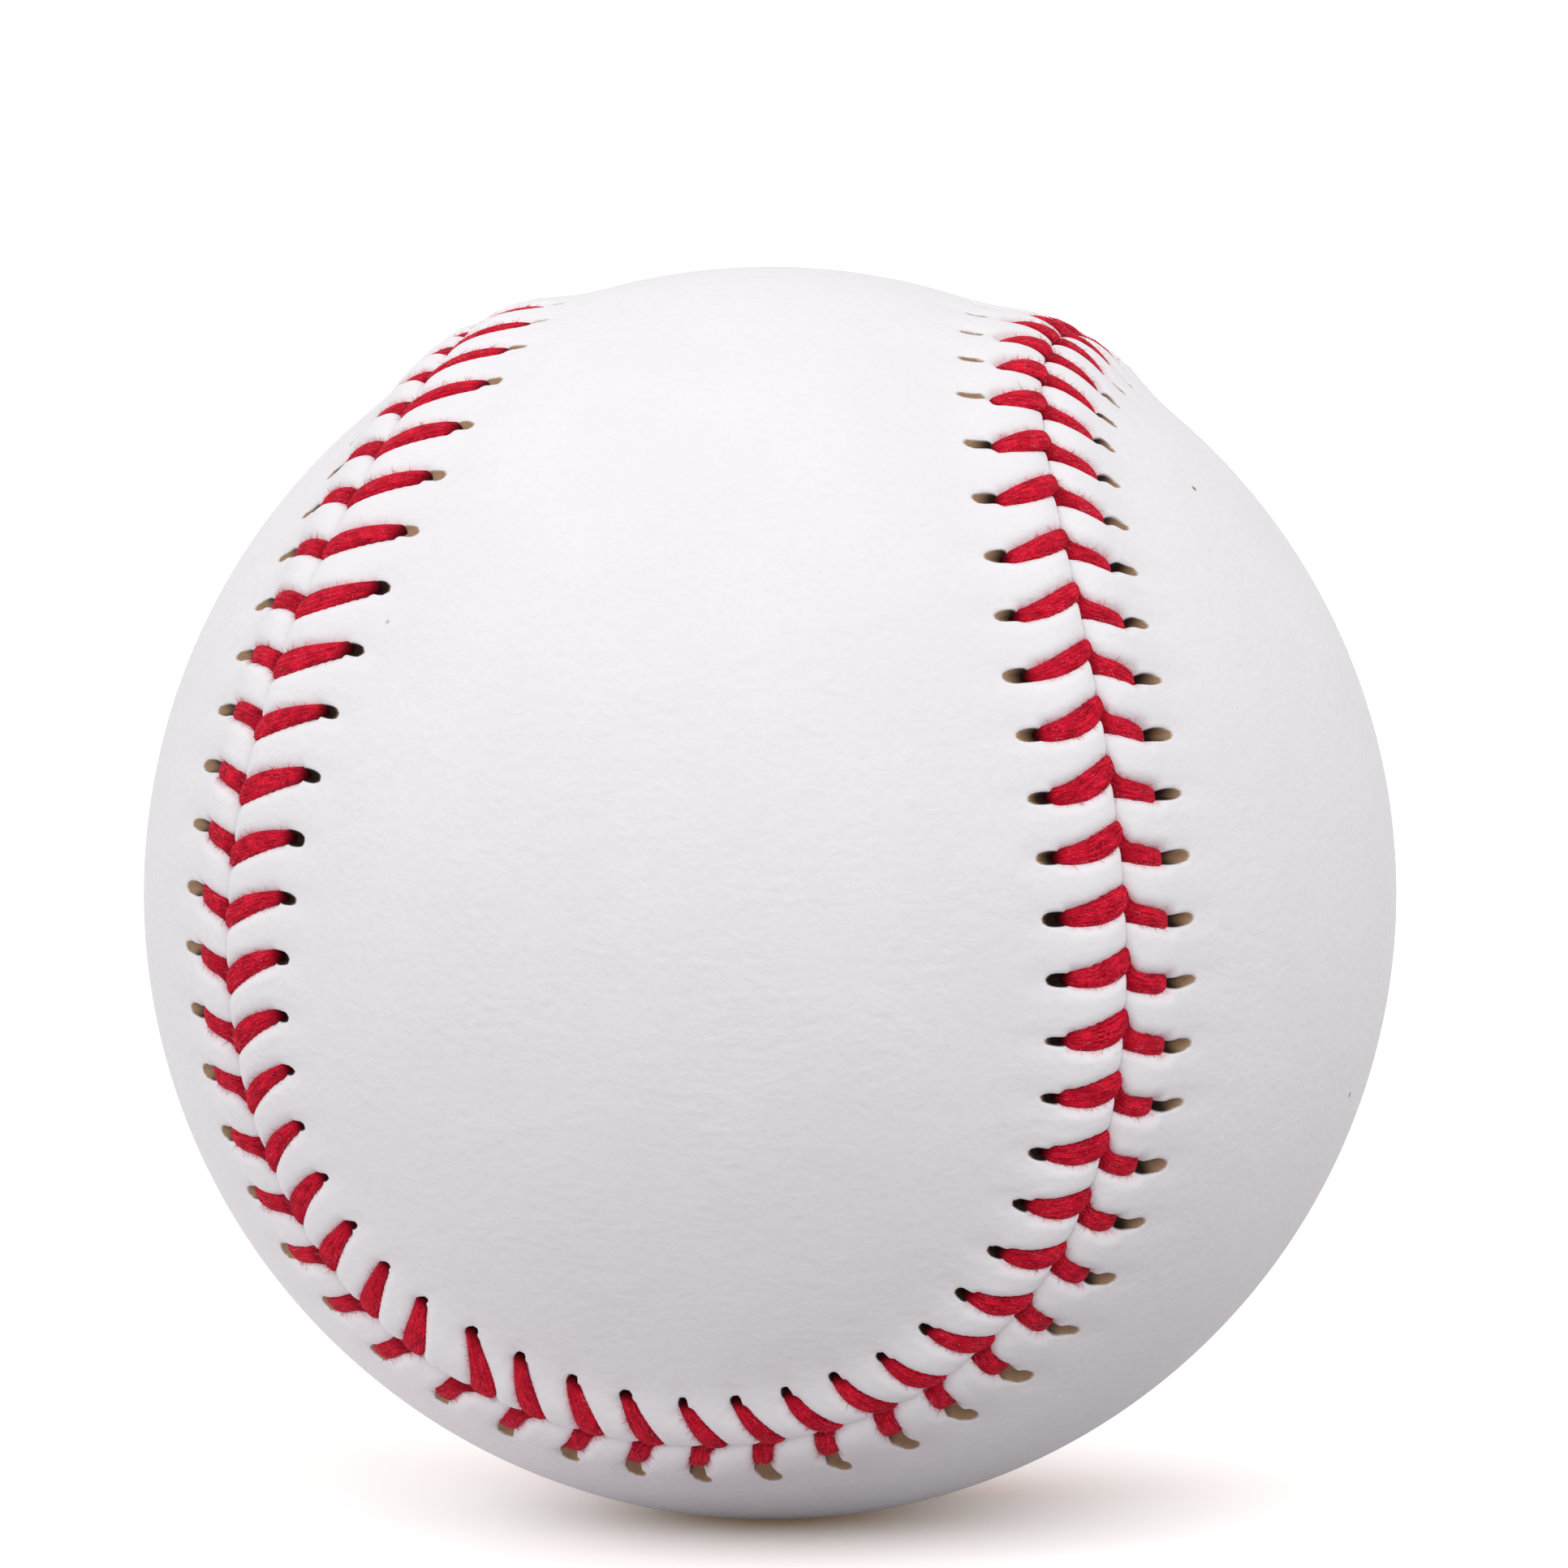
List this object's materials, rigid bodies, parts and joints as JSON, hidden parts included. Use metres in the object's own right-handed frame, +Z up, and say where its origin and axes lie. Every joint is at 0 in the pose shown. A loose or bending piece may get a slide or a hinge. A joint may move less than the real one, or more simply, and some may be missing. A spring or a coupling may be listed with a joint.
{
  "type": "baseball",
  "caption": "Hand-sewn white leather ball with a raised red seam over windings of yarn and a cork and rubber centre.",
  "frame": {"origin": "centre of the ball", "axes": "+Z up as the ball lies on a level surface; +Y away from the viewer, so that the front panel's lobe faces -Y; +X to the viewer's right"},
  "size_m": [0.0727, 0.0727, 0.0726],
  "materials": {
    "cork": "pressed cork granules, matt",
    "black_rubber": "moulded black rubber, matt",
    "red_rubber": "moulded red rubber, matt",
    "dark_grey_wool": "four-ply wool yarn wound tight",
    "white_wool": "three-ply wool yarn wound tight",
    "grey_wool": "three-ply wool yarn wound tight",
    "finishing_yarn": "fine cotton blend yarn wound tight",
    "dried_cement": "thin coat of dried rubber cement, satin",
    "white_leather": "smooth alum-tanned white leather, satin",
    "red_thread": "waxed red cotton thread, slightly fuzzy"
  },
  "bodies": {
    "root": {"cork_core": "cork", "inner_rubber_shell_upper": "black_rubber", "inner_rubber_shell_lower": "black_rubber", "rubber_washer": "red_rubber", "outer_rubber_shell": "red_rubber", "four_ply_grey_winding": "dark_grey_wool", "three_ply_white_winding": "white_wool", "three_ply_grey_winding": "grey_wool", "finishing_winding": "finishing_yarn", "cement_coat": "dried_cement", "cover_panel_front": "white_leather", "cover_panel_back": "white_leather", "stitch_thread_first": "red_thread", "stitch_thread_second": "red_thread"}
  },
  "joints": []
}
